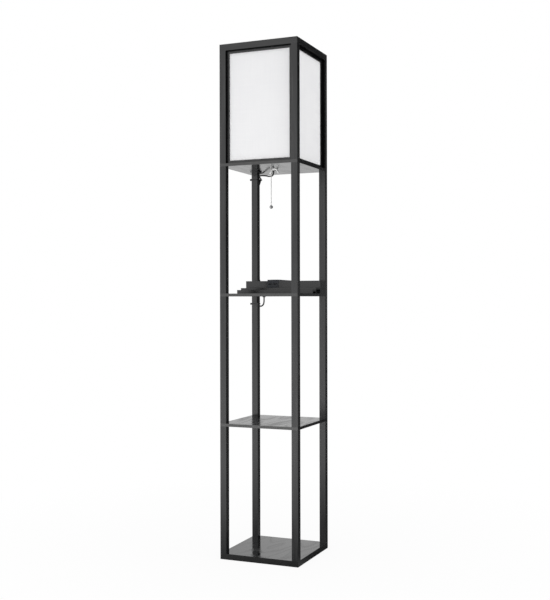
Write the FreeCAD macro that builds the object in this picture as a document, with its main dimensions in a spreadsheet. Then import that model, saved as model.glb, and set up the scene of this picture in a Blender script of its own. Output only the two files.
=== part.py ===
import FreeCAD, Part
import math
import os
import Sketcher

# Shelf floor lamp, in millimetres. The origin is at the centre of the base board's underside, +Z is up,
# and -Y is the front. Four corner posts carry three shelves and, at the top, a fabric shade. A stepped
# console with a power module stands on the middle shelf.

doc = FreeCAD.newDocument("shelf_floor_lamp")

SIZES = {
    # Stand
    "width": 260.0,
    "post": 20.5,
    "base_thick": 18.0,
    "shelf_thick": 9.0,
    "lower_bay": 395.0,
    "middle_bay": 395.0,
    "display_bay": 395.0,
    "shade_height": 350.0,
    "rail_height": 20.0,
    # Knock-down joints in the post ends
    "insert_radius": 4.0,
    "insert_length": 14.0,
    "insert_play": 0.15,
    "thread_radius": 2.9,
    "thread_play": 0.3,
    "stud_grip": 12.0,
    "head_radius": 6.0,
    "head_height": 3.0,
    "head_recess": 0.5,
    "pin_radius": 1.5,
    "pin_grip": 5.0,
    "pin_seat": 3.0,
    "pin_play": 0.1,
    "pin_height": 60.0,
    # Shade panels
    "bar_width": 8.5,
    "bar_depth": 10.0,
    "panel_play": 0.25,
    "fabric_thick": 0.8,
    "fabric_lap": 3.0,
    "fabric_setback": 6.5,
    "fabric_play": 0.1,
    # Lamp holder and bulb
    "flange_radius": 22.0,
    "flange_thick": 4.0,
    "holder_radius": 18.0,
    "holder_height": 50.0,
    "cup_radius": 14.2,
    "cup_floor": 20.0,
    "spigot_radius": 7.0,
    "spigot_drop": 4.5,
    "spigot_play": 0.3,
    "shell_wall": 0.5,
    "shell_height": 26.0,
    "cap_radius": 13.0,
    "cap_height": 24.0,
    "globe_radius": 30.0,
    "globe_height": 86.0,
    "neck_radius": 13.4,
    "neck_height": 8.0,
    # Nut under the shade shelf, with its two flared wings
    "nut_radius": 9.0,
    "nut_height": 4.0,
    "wing_reach": 16.5,
    "wing_drop": 13.0,
    "wing_width": 11.0,
    "wing_thick": 3.0,
    # Pull switch
    "pull_x": -8.0,
    "pull_y": -8.8,
    "pull_bore": 2.5,
    "pull_travel": 10.0,
    "plunger_length": 5.0,
    "rod_radius": 0.9,
    "pivot_drop": 17.0,
    "barrel_radius": 2.4,
    "bead_radius": 1.6,
    "bead_pitch": 4.25,
    "bead_count": 22.0,
    "link_radius": 0.5,
    "pull_play": 0.3,
    "ball_radius": 5.5,
    # Console on the middle shelf
    "console_board": 5.5,
    "box_depth": 66.0,
    "box_height": 41.5,
    "rear_step_depth": 40.3,
    "rear_step_height": 18.5,
    "front_step_depth": 29.0,
    "front_step_height": 12.0,
    "rear_inset": 2.0,
    "exit_width": 8.0,
    "exit_height": 19.0,
    # Power module
    "module_left": -53.0,
    "module_width": 39.0,
    "module_slope": 35.0,
    "module_clear": 1.3,
    "module_proud": 0.8,
    "module_rise": 4.0,
    "module_lip": 1.1,
    "module_corner": 1.5,
    "module_wall": 2.2,
    "module_play": 0.2,
    "outlet_width": 27.0,
    "outlet_length": 34.0,
    "outlet_thick": 6.0,
    "outlet_proud": 0.5,
    "blade_length": 7.0,
    "blade_width": 2.0,
    "blade_gap": 12.7,
    "ground_radius": 2.4,
    "ground_offset": 11.9,
    "usb_width": 12.4,
    "usb_height": 4.8,
    "usb_depth": 12.0,
    "usb_wall": 0.35,
    "usb_pitch": 17.0,
    "tongue_width": 10.4,
    "tongue_thick": 1.5,
    # Leads, bushings and ties
    "lead_radius": 2.25,
    "lead_play": 0.2,
    "hole_play": 0.5,
    "return_side": 1.3,
    "return_front": 3.0,
    "gland_radius": 5.5,
    "gland_flange": 2.0,
    "sleeve_radius": 3.9,
    "sleeve_length": 9.0,
    "gland_side": 50.0,
    "gland_back": 33.0,
    "inlet_x": 60.0,
    "lead_entry": -3.0,
    "entry_play": 0.9,
    "tie_width": 3.6,
    "tie_thick": 1.2,
    "tie_play": 0.3,
    "tie_head": 6.0,
    "tie_low_drop": 24.0,
    "tie_high_drop": 15.0,
}

sheet = doc.addObject("Spreadsheet::Sheet", "Dim")
for row, (word, amount) in enumerate(SIZES.items(), start=1):
    sheet.set("A%d" % row, word)
    sheet.set("B%d" % row, str(amount))
    sheet.setAlias("B%d" % row, word)
doc.recompute()

# From the floor up: what the stand is stacked from, and the height of each.
STACK = [("base", "base_thick"), ("lower_posts", "lower_bay"), ("lower_shelf", "shelf_thick"),
         ("middle_posts", "middle_bay"), ("middle_shelf", "shelf_thick"), ("display_posts", "display_bay"),
         ("shade_shelf", "shelf_thick"), ("shade_posts", "shade_height"), ("top_rails", "rail_height")]
POSTS_ON = {"lower_shelf": "middle_posts", "middle_shelf": "display_posts", "shade_shelf": "shade_posts"}

CORNERS = {"front_left": (-1, -1), "front_right": (1, -1), "rear_right": (1, 1), "rear_left": (-1, 1)}
SIDES = {"front": 0, "right": 90, "rear": 180, "left": 270}
AXES = {
    "X": FreeCAD.Rotation(FreeCAD.Vector(0, 1, 0), 90),
    "Y": FreeCAD.Rotation(FreeCAD.Vector(1, 0, 0), -90),
    "Z": FreeCAD.Rotation(),
}
AXIS = "(Dim.width - Dim.post) / 2"
BOX_FRONT = "(Dim.width / 2 - Dim.box_depth)"
ZERO = "0"
MODULE_DEPTH = "(Dim.box_depth + Dim.module_proud - Dim.rear_inset - Dim.console_board - Dim.module_clear)"
GLAND_X = "(Dim.gland_side - Dim.width / 2)"
GLAND_Y = "(Dim.width / 2 - Dim.gland_back)"
RETURN_X = "(Dim.post + Dim.return_side - Dim.width / 2)"
RETURN_Y = "(Dim.width / 2 - Dim.post - Dim.return_front)"
PIN = ("Dim.pin_radius", "0")
PIN_BORE = ("(Dim.pin_radius + Dim.pin_play)", "Dim.pin_play")

nodes = {}


# ---------------------------------------------------------------- helpers

def size(word):
    """A driving dimension as a number."""
    return float(sheet.get(word))


def below(piece):
    """The driving heights that lie under a piece of the stack."""
    place = [name for name, word in STACK].index(piece)
    return [word for name, word in STACK[:place]]


def level(piece):
    """Formula of the height above the floor of a piece of the stack."""
    return "(" + " + ".join("Dim." + word for word in below(piece)) + ")"


def level_mm(piece):
    """The same height as a number."""
    return sum(size(word) for word in below(piece))


def bind(thing, formulas):
    """Ties properties of an object to formulas of the driving dimensions."""
    for name, formula in formulas.items():
        thing.setExpression(name, formula)


def put(thing, x, y, z):
    """Places an object by three formulas."""
    bind(thing, {"Placement.Base.x": x, "Placement.Base.y": y, "Placement.Base.z": z})
    return thing


def block(corner, extent):
    """A box from its lowest corner and its extents."""
    box = doc.addObject("Part::Box", "block")
    bind(box, dict(zip(("Length", "Width", "Height"), extent)))
    return put(box, *corner)


def rod(foot, radius, length, along="Z"):
    """A cylinder that starts at foot and runs along an axis."""
    cylinder = doc.addObject("Part::Cylinder", "rod")
    cylinder.Placement = FreeCAD.Placement(FreeCAD.Vector(), AXES[along])
    bind(cylinder, {"Radius": radius, "Height": length})
    return put(cylinder, *foot)


def bar(foot, radius, length, along="Z", sides=6):
    """A straight bar of many sides, for what is small and repeats, and for its bore."""
    prism = doc.addObject("Part::Prism", "bar")
    prism.Polygon = sides
    prism.Placement = FreeCAD.Placement(FreeCAD.Vector(), AXES[along])
    bind(prism, {"Circumradius": radius, "Height": length})
    return put(prism, *foot)


def together(things):
    """Several separate solids as one object."""
    bundle = doc.addObject("Part::Compound", "bundle")
    bundle.Links = things
    return bundle


def joined(things):
    """Several touching solids fused into one."""
    whole = doc.addObject("Part::MultiFuse", "joined")
    whole.Shapes = things
    whole.Refine = True
    return whole


def without(whole, tools):
    """A solid less the tools that cut it."""
    rest = doc.addObject("Part::Cut", "cut")
    rest.Base = whole
    rest.Tool = joined(tools) if len(tools) > 1 else tools[0]
    return rest


def node(name, thing):
    """Names a finished sub-part."""
    thing.Label = name
    nodes[name] = thing
    return thing


def outline(body, role, corners):
    """A closed sketch on a body's origin plane, its corners given by pairs of formulas."""
    sketch = body.newObject("Sketcher::SketchObject", "outline")
    plane = [feature for feature in body.Origin.OriginFeatures if feature.Role == role][0]
    sketch.AttachmentSupport = (plane, "")
    sketch.MapMode = "FlatFace"
    places = [FreeCAD.Vector(measure(across), measure(up), 0) for across, up in corners]
    for start, end in zip(places, places[1:] + places[:1]):
        sketch.addGeometry(Part.LineSegment(start, end), False)
    for line in range(len(corners)):
        sketch.addConstraint(Sketcher.Constraint("Coincident", line, 2, (line + 1) % len(corners), 1))
    for line, (across, up) in enumerate(corners):
        for kind, formula, amount in (("DistanceX", across, places[line].x), ("DistanceY", up, places[line].y)):
            number = sketch.addConstraint(Sketcher.Constraint(kind, -1, 1, line, 1, amount))
            sketch.setExpression("Constraints[%d]" % number, formula)
    return sketch


def measure(formula):
    """The value of a formula, read back from a point that it places."""
    probe.setExpression("X", formula)
    probe.recompute()
    return probe.X.Value


probe = doc.addObject("Part::Vertex", "probe")


def turned(name, corners, foot):
    """A piece turned on a lathe: an outline in radius and height, revolved about the upright axis."""
    body = doc.addObject("PartDesign::Body", name + "_body")
    sketch = outline(body, "XZ_Plane", corners)
    revolution = body.newObject("PartDesign::Revolution", "revolution")
    revolution.Profile = sketch
    revolution.ReferenceAxis = (sketch, ["V_Axis"])
    revolution.Angle = 360
    return put(body, *foot)


def extruded(name, role, corners, length, foot):
    """A piece of one section, padded square to an origin plane."""
    body = doc.addObject("PartDesign::Body", name + "_body")
    sketch = outline(body, role, corners)
    pad = body.newObject("PartDesign::Pad", "pad")
    pad.Profile = sketch
    bind(pad, {"Length": length})
    return put(body, *foot)


def signed(sign, formula):
    """A formula on the left or right, or front or rear, side."""
    return formula if sign > 0 else "-(" + formula + ")"


def post_corner(sign):
    """Formula of a post's lowest edge along X or Y."""
    return "Dim.width / 2 - Dim.post" if sign > 0 else "-Dim.width / 2"


# ---------------------------------------------------------------- stand

def insert_bore(sign_x, sign_y, foot):
    """The bore for an insert in the end of a post."""
    place = (signed(sign_x, AXIS), signed(sign_y, AXIS), foot)
    return bar(place, "Dim.insert_radius + Dim.insert_play", "Dim.insert_length + Dim.insert_play")


def post(name, sign_x, sign_y, foot, length, top_bores):
    """A square post segment, bored for an insert in its foot and as given at its top."""
    corner = (post_corner(sign_x), post_corner(sign_y), foot)
    stick = block(corner, ("Dim.post", "Dim.post", length))
    node(name, without(stick, [insert_bore(sign_x, sign_y, foot)] + top_bores))


def panel_pin(sign_x, sign_y, along, height, radius, ease):
    """A pin, or its bore, across the seam between a shade post and a panel's side bar. It goes less
    deep into the post, where the pin from the next side would meet it."""
    bar_line = "Dim.width / 2 - Dim.post + Dim.bar_depth / 2"
    reach = "(Dim.pin_grip + Dim.pin_seat + 2 * " + ease + ")"
    if (sign_x if along == "X" else sign_y) > 0:
        start = "Dim.width / 2 - Dim.post - Dim.pin_grip - " + ease
    else:
        start = "Dim.post - Dim.width / 2 - Dim.pin_seat - " + ease
    if along == "X":
        return bar((start, signed(sign_y, bar_line), height), radius, reach, "X", 8)
    return bar((signed(sign_x, bar_line), start, height), radius, reach, "Y", 8)


def panel_pins(sign_x, sign_y, radius, ease):
    """The four panel pins, or bores, of one shade post: two heights on each of its two inner faces."""
    low = level("shade_posts") + " + Dim.pin_height"
    high = level("top_rails") + " - Dim.pin_height"
    return [panel_pin(sign_x, sign_y, along, height, radius, ease) for along in "XY" for height in (low, high)]


def rail_pin(sign_x, sign_y, radius, ease):
    """The upright pin, or bore, that joins a shade post to the mitre of the top rails."""
    place = (signed(sign_x, AXIS), signed(sign_y, AXIS), level("top_rails") + " - Dim.pin_grip - " + ease)
    return bar(place, radius, "2 * (Dim.pin_grip + " + ease + ")")


def build_posts():
    """Sixteen post segments: four tiers at four corners. The two rear ones of the display tier are
    shorter, because they stand on the console."""
    tiers = {"lower": "Dim.lower_bay", "middle": "Dim.middle_bay", "display": "Dim.display_bay",
             "shade": "Dim.shade_height"}
    for tier, length in tiers.items():
        for corner, (sign_x, sign_y) in CORNERS.items():
            foot = level(tier + "_posts")
            reach = length
            if tier == "display" and sign_y > 0:
                foot = foot + " + Dim.box_height"
                reach = length + " - Dim.box_height"
            if tier == "shade":
                bores = panel_pins(sign_x, sign_y, *PIN_BORE) + [rail_pin(sign_x, sign_y, *PIN_BORE)]
            else:
                top = level(tier + "_posts") + " + " + length + " - Dim.insert_length - Dim.insert_play"
                bores = [insert_bore(sign_x, sign_y, top)]
            post("%s_post_%s" % (tier, corner), sign_x, sign_y, foot, reach, bores)


def corner_holes(foot, length):
    """A hole for a stud at each corner of a board."""
    radius = "Dim.thread_radius + Dim.thread_play"
    return [bar((signed(sign_x, AXIS), signed(sign_y, AXIS), foot), radius, length)
            for sign_x, sign_y in CORNERS.values()]


def square_board(foot, thickness):
    """A full square board."""
    return block(("-Dim.width / 2", "-Dim.width / 2", foot), ("Dim.width", "Dim.width", thickness))


def build_boards():
    """The base board, counterbored from below, and the three shelves."""
    sinks = [bar((signed(sign_x, AXIS), signed(sign_y, AXIS), ZERO), "Dim.head_radius + Dim.thread_play",
                 "Dim.head_recess + Dim.head_height", "Z", 12) for sign_x, sign_y in CORNERS.values()]
    node("base_board", without(square_board(ZERO, "Dim.base_thick"), corner_holes(ZERO, "Dim.base_thick") + sinks))

    foot = level("lower_shelf")
    node("lower_shelf", without(square_board(foot, "Dim.shelf_thick"), corner_holes(foot, "Dim.shelf_thick")))

    foot = level("middle_shelf")
    gland_hole = bar((GLAND_X, GLAND_Y, foot), "Dim.sleeve_radius + Dim.lead_play", "Dim.shelf_thick", "Z", 12)
    return_hole = bar((RETURN_X, RETURN_Y, foot), "Dim.lead_radius + Dim.hole_play", "Dim.shelf_thick", "Z", 12)
    node("middle_shelf", without(square_board(foot, "Dim.shelf_thick"),
                                 corner_holes(foot, "Dim.shelf_thick") + [gland_hole, return_hole]))

    foot = level("shade_shelf")
    spigot_hole = rod((ZERO, ZERO, foot), "Dim.spigot_radius + Dim.spigot_play", "Dim.shelf_thick")
    pull_hole = bar(("Dim.pull_x", "Dim.pull_y", foot), "Dim.pull_bore", "Dim.shelf_thick", "Z", 12)
    node("shade_shelf", without(square_board(foot, "Dim.shelf_thick"),
                                corner_holes(foot, "Dim.shelf_thick") + [spigot_hole, pull_hole]))


def build_top_rails():
    """Four rails, mitred at the corners, that close the top of the stand."""
    for side, angle in SIDES.items():
        corners = [("-Dim.width / 2", "-Dim.width / 2"), ("Dim.width / 2", "-Dim.width / 2"),
                   ("Dim.width / 2 - Dim.post", "Dim.post - Dim.width / 2"),
                   ("Dim.post - Dim.width / 2", "Dim.post - Dim.width / 2")]
        rail = extruded("rail_" + side, "XY_Plane", corners, "Dim.rail_height", (ZERO, ZERO, level("top_rails")))
        rail.Placement.Rotation = FreeCAD.Rotation(FreeCAD.Vector(0, 0, 1), angle)
        bores = [rail_pin(sign_x, sign_y, *PIN_BORE) for sign_x, sign_y in CORNERS.values()]
        node("top_rail_" + side, without(rail, bores))


# ---------------------------------------------------------------- fasteners of the stand

def insert(place, foot):
    """A threaded insert: a plain sleeve here."""
    sleeve = bar(place + (foot,), "Dim.insert_radius", "Dim.insert_length")
    return without(sleeve, [bar(place + (foot,), "Dim.thread_radius + Dim.insert_play", "Dim.insert_length")])


def build_fasteners():
    """Bolts through the base, studs through the shelves, and the inserts that they screw into."""
    bolts = []
    studs = []
    inserts = []
    pins = []
    for sign_x, sign_y in CORNERS.values():
        place = (signed(sign_x, AXIS), signed(sign_y, AXIS))
        shank_foot = "Dim.head_recess + Dim.head_height"
        head = bar(place + ("Dim.head_recess",), "Dim.head_radius", "Dim.head_height", "Z", 12)
        shank = bar(place + (shank_foot,), "Dim.thread_radius",
                    "Dim.base_thick + Dim.stud_grip - (" + shank_foot + ")")
        bolts.append(joined([head, shank]))
        inserts.append(insert(place, level("lower_posts")))
        for shelf, posts in POSTS_ON.items():
            rise = " + Dim.box_height" if shelf == "middle_shelf" and sign_y > 0 else ""
            inserts.append(insert(place, level(shelf) + " - Dim.insert_length"))
            inserts.append(insert(place, level(posts) + rise))
            studs.append(bar(place + (level(shelf) + " - Dim.stud_grip",), "Dim.thread_radius",
                             "Dim.shelf_thick + 2 * Dim.stud_grip" + rise))
        pins.extend(panel_pins(sign_x, sign_y, *PIN))
        pins.append(rail_pin(sign_x, sign_y, *PIN))
    node("base_bolts", together(bolts))
    node("shelf_studs", together(studs))
    node("post_inserts", together(inserts))
    node("frame_pins", together(pins))


# ---------------------------------------------------------------- shade panels

def panel_bar(corners, tools):
    """One mitred bar of a panel frame, grooved for the fabric and bored for its pins."""
    stick = extruded("stick", "XZ_Plane", corners, "Dim.bar_depth", (ZERO, "Dim.post - Dim.width / 2", ZERO))
    return without(stick, tools)


def panel_frame():
    """A panel's four bars, standing at the front."""
    reach = "(Dim.width / 2 - Dim.post - Dim.panel_play)"
    inner = "(" + reach + " - Dim.bar_width)"
    low = "(" + level("shade_posts") + " + Dim.panel_play)"
    high = "(" + level("top_rails") + " - Dim.panel_play)"
    inner_low = "(" + low + " + Dim.bar_width)"
    inner_high = "(" + high + " - Dim.bar_width)"
    outer = [("-" + reach, low), (reach, low), (reach, high), ("-" + reach, high)]
    opening = [("-" + inner, inner_low), (inner, inner_low), (inner, inner_high), ("-" + inner, inner_high)]
    setback = "(Dim.post - Dim.bar_depth + Dim.fabric_setback - Dim.width / 2 - Dim.fabric_play)"
    lap = "(Dim.fabric_lap + Dim.fabric_play)"
    bars = []
    for number in range(4):
        following = (number + 1) % 4
        groove = block(("-(" + inner + " + " + lap + ")", setback, inner_low + " - " + lap),
                       ("2 * (" + inner + " + " + lap + ")", "Dim.fabric_thick + 2 * Dim.fabric_play",
                        inner_high + " - " + inner_low + " + 2 * " + lap))
        tools = [groove]
        if number in (1, 3):
            side = 1 if number == 1 else -1
            for height in (level("shade_posts") + " + Dim.pin_height", level("top_rails") + " - Dim.pin_height"):
                tools.append(panel_pin(side, -1, "X", height, *PIN_BORE))
        bars.append(panel_bar([outer[number], outer[following], opening[following], opening[number]], tools))
    return together(bars)


def panel_fabric():
    """A panel's fabric, held in the grooves of its bars."""
    reach = "(Dim.width / 2 - Dim.post - Dim.panel_play - Dim.bar_width + Dim.fabric_lap)"
    foot = level("shade_posts") + " + Dim.panel_play + Dim.bar_width - Dim.fabric_lap"
    rise = "Dim.shade_height - 2 * (Dim.panel_play + Dim.bar_width - Dim.fabric_lap)"
    front = "Dim.post - Dim.bar_depth + Dim.fabric_setback - Dim.width / 2"
    return block(("-" + reach, front, foot), ("2 * " + reach, "Dim.fabric_thick", rise))


def build_panels():
    """Four framed fabric panels, the front one turned about the upright axis for the others."""
    for side, angle in SIDES.items():
        for name, maker in (("panel_frame_", panel_frame), ("panel_fabric_", panel_fabric)):
            panel = together([maker()])
            panel.Placement = FreeCAD.Placement(FreeCAD.Vector(), FreeCAD.Rotation(FreeCAD.Vector(0, 0, 1), angle))
            node(name + side, panel)


# ---------------------------------------------------------------- lamp holder, bulb and pull switch

def build_lamp_holder():
    """The holder stands on the shade shelf, its spigot goes through it, and a winged nut clamps it."""
    shelf_top = level("shade_posts")
    profile = [(ZERO, "-(Dim.shelf_thick + Dim.spigot_drop)"),
               ("Dim.spigot_radius", "-(Dim.shelf_thick + Dim.spigot_drop)"),
               ("Dim.spigot_radius", ZERO), ("Dim.flange_radius", ZERO),
               ("Dim.flange_radius", "Dim.flange_thick"), ("Dim.holder_radius", "Dim.flange_thick"),
               ("Dim.holder_radius", "Dim.holder_height"), ("Dim.cup_radius", "Dim.holder_height"),
               ("Dim.cup_radius", "Dim.cup_floor"), (ZERO, "Dim.cup_floor")]
    holder = turned("holder", profile, (ZERO, ZERO, shelf_top))
    lead_bore = bar(("Dim.lead_entry", ZERO, level("shade_shelf") + " - Dim.spigot_drop"),
                    "Dim.lead_radius + Dim.entry_play", "Dim.shelf_thick + Dim.spigot_drop", "Z", 12)
    pull_bore = bar(("Dim.pull_x", "Dim.pull_y", shelf_top), "Dim.pull_bore",
                    "Dim.plunger_length + Dim.pull_travel + Dim.pull_play", "Z", 12)
    node("holder_body", without(holder, [lead_bore, pull_bore]))

    shell_outer = "Dim.cup_radius - Dim.spigot_play"
    shell_foot = shelf_top + " + Dim.cup_floor"
    tube = bar((ZERO, ZERO, shell_foot), shell_outer, "Dim.shell_height", "Z", 32)
    bore = bar((ZERO, ZERO, shell_foot + " + Dim.shell_wall"), shell_outer + " - Dim.shell_wall",
               "Dim.shell_height", "Z", 32)
    node("screw_shell", without(tube, [bore]))
    build_nut()
    build_bulb()


def build_nut():
    """A nut on the spigot, with two flat wings that flare down and outward, left and right."""
    underside = level("shade_shelf")
    collar = rod((ZERO, ZERO, underside + " - Dim.nut_height"), "Dim.nut_radius", "Dim.nut_height")
    wings = []
    for sign in (-1, 1):
        corners = [(signed(sign, "(Dim.nut_radius - Dim.wing_thick)"), "-Dim.nut_height / 2"),
                   (signed(sign, "Dim.nut_radius"), "-Dim.nut_height / 4"),
                   (signed(sign, "Dim.wing_reach"), "-Dim.wing_drop"),
                   (signed(sign, "Dim.wing_reach - Dim.wing_thick"), "-Dim.wing_drop")]
        wings.append(extruded("wing", "XZ_Plane", corners, "Dim.wing_width", (ZERO, "Dim.wing_width / 2", underside)))
    bore = rod((ZERO, ZERO, underside + " - Dim.wing_drop"), "Dim.spigot_radius + Dim.lead_play", "Dim.wing_drop")
    node("wing_nut", without(joined([collar] + wings), [bore]))


def faceted(sections, sides, x, y):
    """A turned piece with flat sides, through regular rings of (height, radius), lowest first."""
    rings = []
    for height, radius in sections:
        turns = [2 * math.pi * corner / sides for corner in range(sides)]
        rings.append([FreeCAD.Vector(x + radius * math.cos(turn), y + radius * math.sin(turn), height)
                      for turn in turns])
    faces = [Part.Face(Part.makePolygon(ring + ring[:1])) for ring in (rings[0], rings[-1])]
    for low, high in zip(rings, rings[1:]):
        for corner in range(sides):
            following = (corner + 1) % sides
            side = [low[corner], low[following], high[following], high[corner], low[corner]]
            faces.append(Part.Face(Part.makePolygon(side)))
    solid = Part.Solid(Part.Shell(faces))
    if solid.Volume < 0:
        solid.reverse()
    return solid


def shaped(name, shape):
    """A sub-part whose shape is made by a formula."""
    feature = doc.addObject("Part::Feature", name)
    feature.Shape = shape
    feature.Placement = FreeCAD.Placement()
    return node(name, feature)


def build_bulb():
    """The bulb: its cap in the screw shell, and an envelope with a short neck, a flare and a ball."""
    cap_foot = level_mm("shade_posts") + size("cup_floor") + size("shell_wall") + size("spigot_play")
    cap = size("cap_radius")
    foot = cap_foot + size("cap_height")
    rings = [(cap_foot, cap / 3), (cap_foot + 1.5, cap / 2.5), (cap_foot + 4.5, cap - 1), (cap_foot + 6, cap),
             (foot, cap)]
    shaped("bulb_cap", faceted(rings, 24, 0, 0))
    radius = size("globe_radius")
    neck = size("neck_radius")
    centre = foot + size("globe_height") - radius
    rings = [(foot, neck), (foot + size("neck_height"), neck)]
    rings.extend((centre - radius * math.cos(math.radians(angle)), radius * math.sin(math.radians(angle)))
                 for angle in (54, 68, 82, 96, 110, 124, 138, 152, 166, 176))
    shaped("bulb_globe", faceted(rings, 32, 0, 0))


def bead_rings(centre, radius):
    """Four rings that round a bead off, from its foot to its top."""
    turns = [math.radians(angle) for angle in (160, 115, 65, 20)]
    return [(centre + radius * math.cos(turn), radius * math.sin(turn)) for turn in turns]


def build_pull():
    """The pull switch's rod with its barrel, the link bead in it, and the chain with its ball. The
    barrel holds the bead loosely, so the chain swings both ways about the bead's centre."""
    line = ("Dim.pull_x", "Dim.pull_y")
    pivot_height = "(" + level("shade_shelf") + " - Dim.pivot_drop)"
    stem_foot = "(" + pivot_height + " + Dim.bead_radius + Dim.pull_play + 2)"
    plunger_foot = "(" + level("shade_posts") + " + Dim.pull_travel)"
    plunger = bar(line + (plunger_foot,), "Dim.pull_bore - Dim.pull_play", "Dim.plunger_length", "Z", 12)
    stem = bar(line + (stem_foot,), "Dim.rod_radius", plunger_foot + " - " + stem_foot, "Z", 12)
    barrel = bar(line + (pivot_height,), "Dim.barrel_radius", stem_foot + " - " + pivot_height, "Z", 12)
    hollow = bar(line + (pivot_height,), "Dim.bead_radius + Dim.pull_play", "Dim.bead_radius + Dim.pull_play",
                 "Z", 12)
    node("pull_rod", joined([plunger, stem, without(barrel, [hollow])]))

    x = size("pull_x")
    y = size("pull_y")
    pivot = level_mm("shade_shelf") - size("pivot_drop")
    play = size("pull_play")
    bead = size("bead_radius")
    shaped("chain_link", faceted(bead_rings(pivot, bead), 8, x, y))

    pitch = size("bead_pitch")
    count = int(size("bead_count"))
    thin = size("link_radius")
    chain_end = pivot - (count + 1) * pitch
    sections = [(chain_end, thin)]
    for number in range(count, 0, -1):
        sections.extend(bead_rings(pivot - number * pitch, bead))
    sections.append((pivot - bead - play, thin))
    shaped("pull_chain", faceted(sections, 8, x, y))

    radius = size("ball_radius")
    turns = [math.radians(15 * step) for step in range(11, 0, -1)]
    centre = chain_end - radius * math.cos(turns[-1])
    shaped("pull_ball", faceted([(centre + radius * math.cos(turn), radius * math.sin(turn)) for turn in turns],
                                20, x, y))


# ---------------------------------------------------------------- console

def build_console():
    """A tall rear box of thin boards under the two rear posts, with two low steps before it."""
    floor = level("display_posts")
    board = "Dim.console_board"
    wall_height = "Dim.box_height - Dim.console_board"
    box_top = "(" + floor + " + " + wall_height + ")"
    right_end = "(Dim.width / 2 - Dim.console_board)"
    module_play = "Dim.module_play"

    module_slot = block(("Dim.module_left - " + module_play, BOX_FRONT, floor + " + Dim.rear_step_height"),
                        ("Dim.module_width + 2 * " + module_play, board, "Dim.box_height"))
    front = block(("-Dim.width / 2", BOX_FRONT, floor), ("Dim.width", board, wall_height))
    node("console_front", without(front, [module_slot]))

    top = block(("-Dim.width / 2", BOX_FRONT, box_top), ("Dim.width", "Dim.box_depth", board))
    module_hole = block(("Dim.module_left - " + module_play, BOX_FRONT, box_top),
                        ("Dim.module_width + 2 * " + module_play,
                         MODULE_DEPTH + " - Dim.module_proud + " + module_play, board))
    stud_holes = [bar((signed(sign, AXIS), AXIS, box_top), "Dim.thread_radius + Dim.thread_play", board)
                  for sign in (-1, 1)]
    node("console_top", without(top, [module_hole] + stud_holes))

    rear_face = "(Dim.width / 2 - Dim.rear_inset - Dim.console_board)"
    rear = block(("Dim.post - Dim.width / 2", rear_face, floor), ("Dim.width - 2 * Dim.post", board, wall_height))
    inlet = bar(("Dim.inlet_x", rear_face, floor + " + Dim.box_height / 2"),
                "Dim.sleeve_radius + Dim.lead_play", board, "Y", 12)
    lead_exit = block(("Dim.post - Dim.width / 2", rear_face, box_top + " - Dim.exit_height"),
                      ("Dim.exit_width", board, "Dim.exit_height"))
    node("console_rear", without(rear, [inlet, lead_exit]))

    ends = [block((start, BOX_FRONT + " + " + board, floor),
                  (board, "Dim.box_depth - Dim.console_board - Dim.post", wall_height))
            for start in ("-Dim.width / 2", right_end)]
    node("console_ends", together(ends))

    blocks = []
    for sign in (-1, 1):
        solid = block((post_corner(sign), "Dim.width / 2 - Dim.post", floor), ("Dim.post", "Dim.post", wall_height))
        hole = bar((signed(sign, AXIS), AXIS, floor), "Dim.thread_radius + Dim.thread_play", wall_height)
        blocks.append(without(solid, [hole]))
    node("console_blocks", together(blocks))

    rear_step = "(" + BOX_FRONT + " - Dim.rear_step_depth)"
    front_step = "(" + rear_step + " - Dim.front_step_depth)"
    node("tread_rear", tread(rear_step, "Dim.rear_step_depth", "Dim.rear_step_height"))
    node("tread_front", tread(front_step, "Dim.front_step_depth", "Dim.front_step_height"))


def tread(edge, depth, rise):
    """A step of the console: a board on its riser, flush at the front."""
    floor = level("display_posts")
    board = block(("-Dim.width / 2", edge, floor + " + " + rise + " - Dim.console_board"),
                  ("Dim.width", depth, "Dim.console_board"))
    riser = block(("-Dim.width / 2", edge, floor), ("Dim.width", "Dim.console_board", rise + " - Dim.console_board"))
    return joined([board, riser])


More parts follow.
